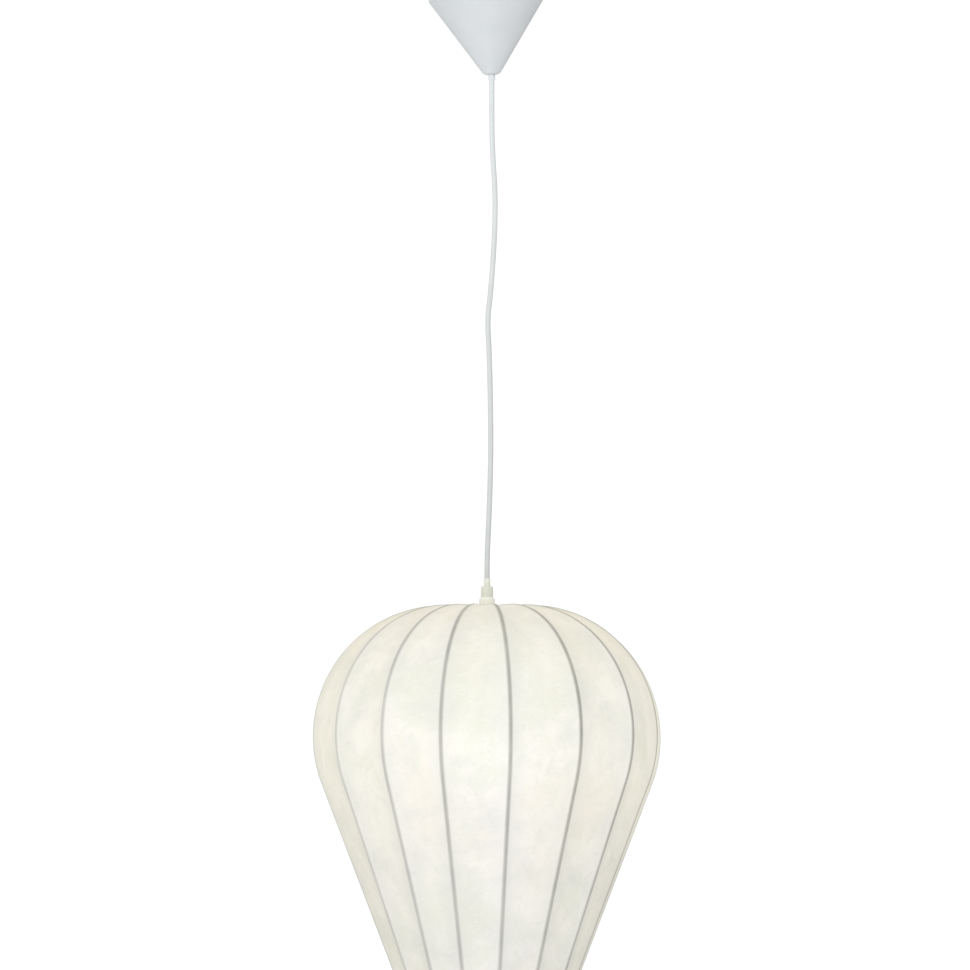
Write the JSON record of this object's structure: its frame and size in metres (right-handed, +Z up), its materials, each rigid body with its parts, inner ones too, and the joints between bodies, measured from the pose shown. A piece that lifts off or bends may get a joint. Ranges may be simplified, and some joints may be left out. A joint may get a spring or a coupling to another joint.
{
  "type": "pendant lamp",
  "caption": "Ceiling pendant lamp: conical canopy, slender cord with a small grip, and a balloon-shaped cocoon shade on bent wire ribs with a screw-in bulb inside.",
  "frame": {"origin": "on the ceiling, at the middle of the fixing plate's upper face", "axes": "+Z up, -Y towards the front, +X to the right; the shade hangs below the origin"},
  "size_m": [0.4, 0.4, 1.215],
  "materials": {
    "zinc_steel": "bright zinc plate",
    "clamp_plastic": "moulded, fine texture",
    "block_plastic": "translucent nylon",
    "brass": "plain",
    "lead_insulation": "plain, one brown and one blue",
    "canopy_plastic": "satin white moulding",
    "stop_plastic": "satin white",
    "cord_sheath": "smooth white sheath",
    "grip_plastic": "satin cream-white moulding",
    "frame_wire": "white lacquered steel wire",
    "cocoon_film": "cloudy translucent sprayed film",
    "holder_plastic": "white heat-resistant moulding",
    "insert_ceramic": "unglazed",
    "bulb_shell": "bright",
    "bulb_black": "black vitrite",
    "bulb_solder": "tinned",
    "bulb_plastic": "white over aluminium",
    "bulb_opal": "opal, lit from inside",
    "board_metal": "white solder mask",
    "led_phosphor": "phosphor",
    "driver_laminate": "laminate"
  },
  "bodies": {
    "ceiling_fixing": {"ceiling_plate": "zinc_steel", "ceiling_hook": "zinc_steel", "hook_locknut": "zinc_steel"},
    "ring": {"hanging_ring": "zinc_steel"},
    "pendant": {"hanger_clamp": "clamp_plastic", "clamp_saddle": "clamp_plastic", "clamp_screws": "zinc_steel", "terminal_block": "block_plastic", "terminal_tubes": "brass", "terminal_screws": "zinc_steel", "supply_leads": "lead_insulation", "pendant_cord": "cord_sheath", "grip_sleeve": "grip_plastic", "grip_body": "grip_plastic", "base_cup": "grip_plastic", "threaded_nipple": "zinc_steel", "rib_hub": "frame_wire", "bottom_wire": "frame_wire", "film_lid": "cocoon_film", "film_crown": "cocoon_film", "film_shoulder": "cocoon_film", "film_belly": "cocoon_film", "film_taper": "cocoon_film", "holder_cap": "holder_plastic", "holder_insert": "insert_ceramic", "holder_skirt": "holder_plastic", "centre_contact": "brass", "side_contact": "brass", "contact_rivets": "zinc_steel", "holder_leads": "lead_insulation", "rib_01": "frame_wire", "rib_02": "frame_wire", "rib_03": "frame_wire", "rib_04": "frame_wire", "rib_05": "frame_wire", "rib_06": "frame_wire", "rib_07": "frame_wire", "rib_08": "frame_wire", "rib_09": "frame_wire", "rib_10": "frame_wire", "rib_11": "frame_wire", "rib_12": "frame_wire", "rib_13": "frame_wire", "rib_14": "frame_wire", "rib_15": "frame_wire", "rib_16": "frame_wire"},
    "cord_stop": {"canopy_stop": "stop_plastic"},
    "canopy": {"canopy": "canopy_plastic"},
    "bulb": {"bulb_screw_shell": "bulb_shell", "bulb_insulator": "bulb_black", "bulb_tip_contact": "bulb_solder", "bulb_body": "bulb_plastic", "bulb_diffuser": "bulb_opal", "led_board": "board_metal", "led_chips": "led_phosphor", "driver_board": "driver_laminate"}
  },
  "joints": [
    {"name": "ring_swing", "type": "hinge", "parent": "ceiling_fixing", "child": "ring", "pos_m": [0, 0, -0.032], "axis": [1, 0, 0], "range_deg": [-5, 5]},
    {"name": "lamp_swing", "type": "hinge", "parent": "ring", "child": "pendant", "pos_m": [0, 0, -0.0453], "axis": [0, 1, 0], "range_deg": [-5, 5]},
    {"name": "stop_slide", "type": "slide", "parent": "pendant", "child": "cord_stop", "axis": [0, 0, -1], "range_m": [0, 0.045]},
    {"name": "canopy_tilt", "type": "hinge", "parent": "cord_stop", "child": "canopy", "pos_m": [0.0055, 0, -0.106], "axis": [0, 1, 0], "range_deg": [0, 6.8]},
    {"name": "bulb_turn", "type": "hinge", "parent": "pendant", "child": "bulb", "pos_m": [0, 0, -0.78], "axis": [0, 0, -1], "range_deg": [0, 1080]}
  ]
}
